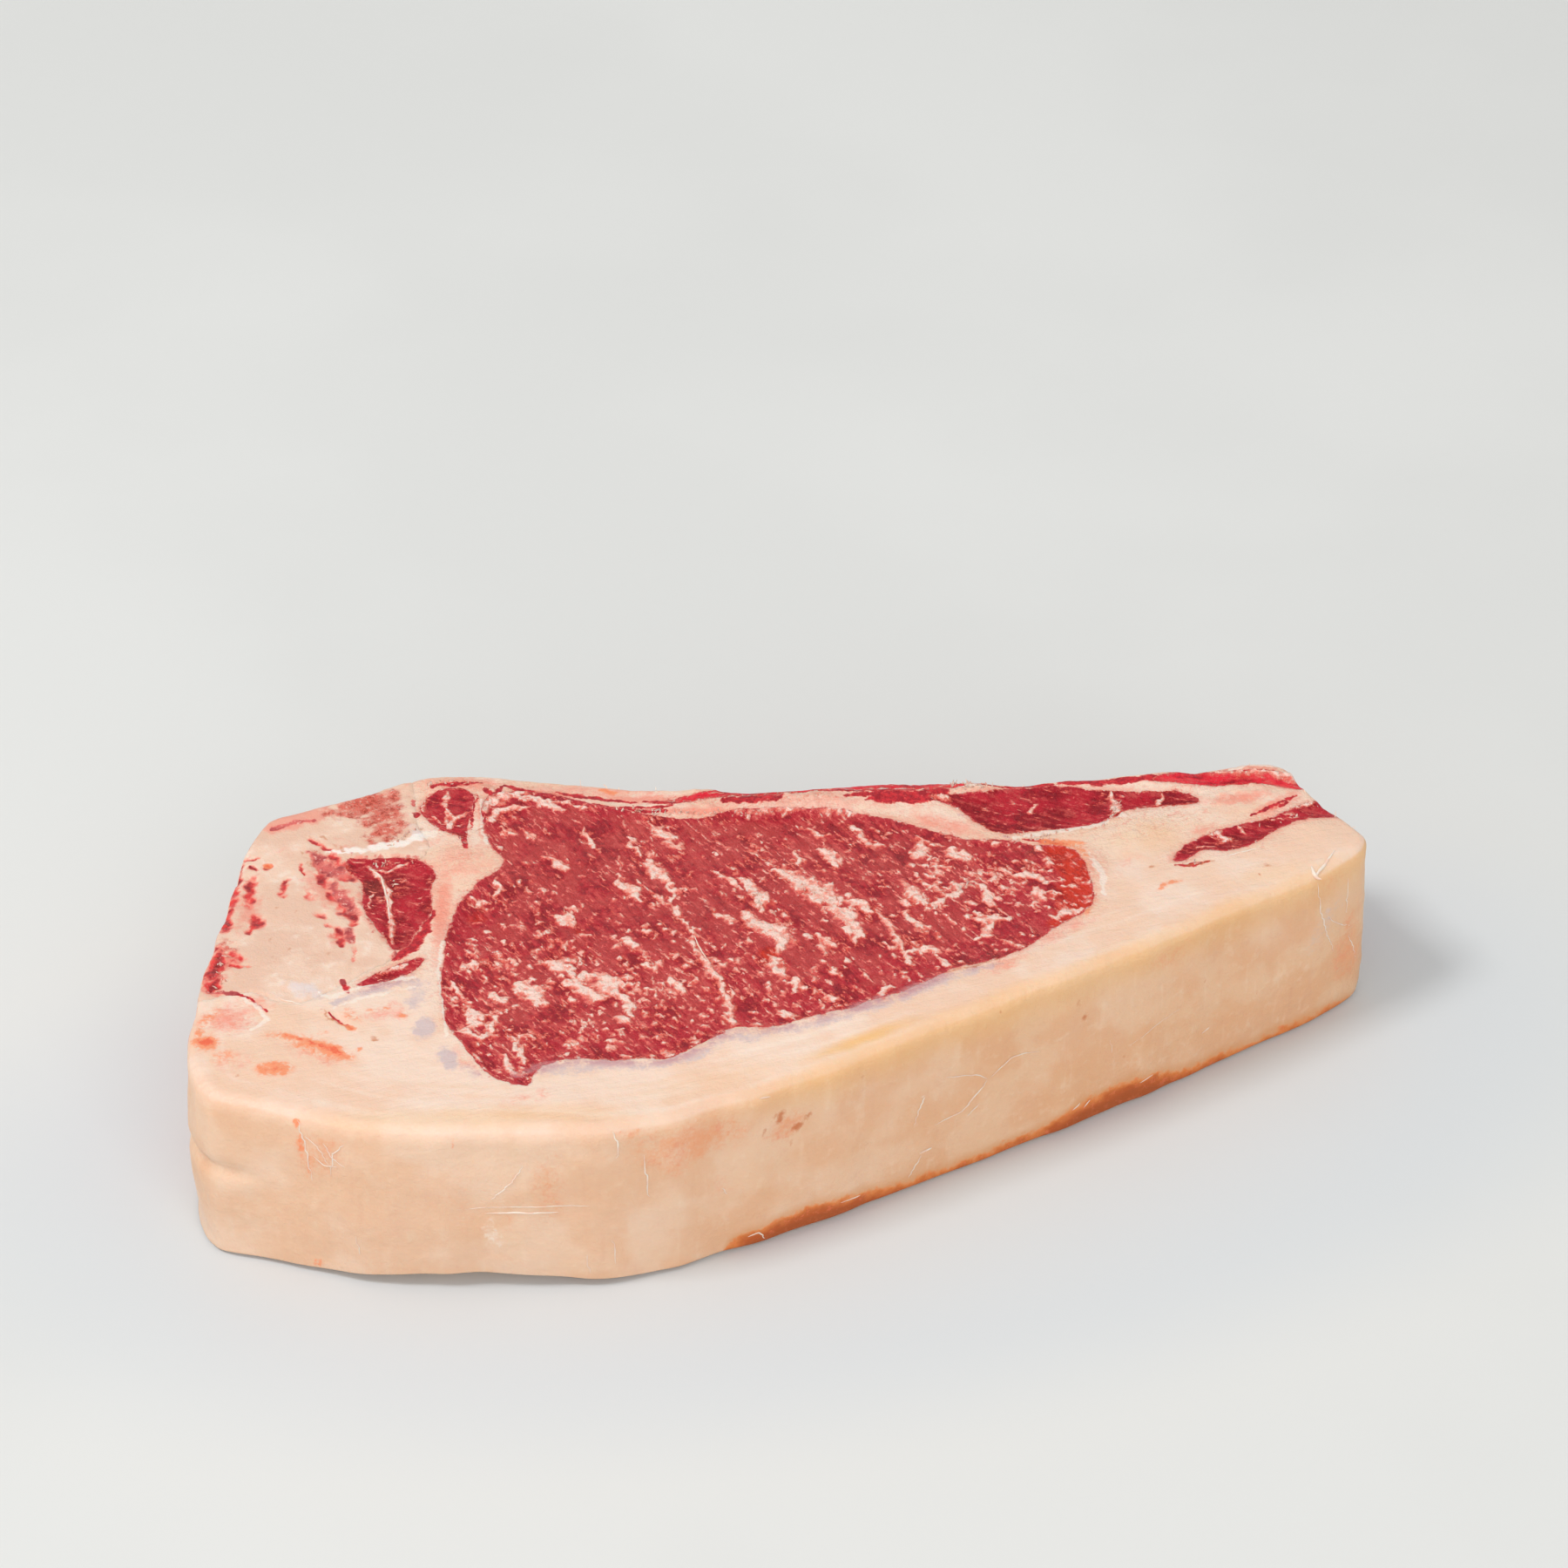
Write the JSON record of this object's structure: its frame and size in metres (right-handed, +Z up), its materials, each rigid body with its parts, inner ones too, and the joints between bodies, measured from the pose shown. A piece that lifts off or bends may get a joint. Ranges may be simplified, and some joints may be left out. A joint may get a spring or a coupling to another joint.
{
  "type": "raw beef steak",
  "caption": "Thick raw bone-in beef strip loin steak, lying flat: marbled loin eye, small dark muscles, sawn backbone, and cream fat that wraps and joins them.",
  "frame": {"origin": "middle of the steak's bounding box in plan, at the level of the lower cut face that it lies on", "axes": "+X along the length, from the sawn bone towards the tail; +Y from the fat cap towards the back edge; +Z up, through the thickness"},
  "size_m": [0.2298, 0.1212, 0.038],
  "materials": {
    "fat": "smooth cream fat with a soft, slightly greasy sheen",
    "lean": "moist pinkish-red lean with pale marbling",
    "dark_lean": "moist dark red lean",
    "bone": "sawn bone, cream with red marrow spots"
  },
  "bodies": {
    "root": {"fat_cap": "fat", "loin_eye": "lean", "bone": "bone", "multifidus": "dark_lean", "multifidus_slip": "dark_lean", "corner_muscle": "dark_lean", "back_strip": "dark_lean", "flank_muscle": "dark_lean", "tail_strip": "dark_lean", "tail_muscle": "dark_lean"}
  },
  "joints": []
}
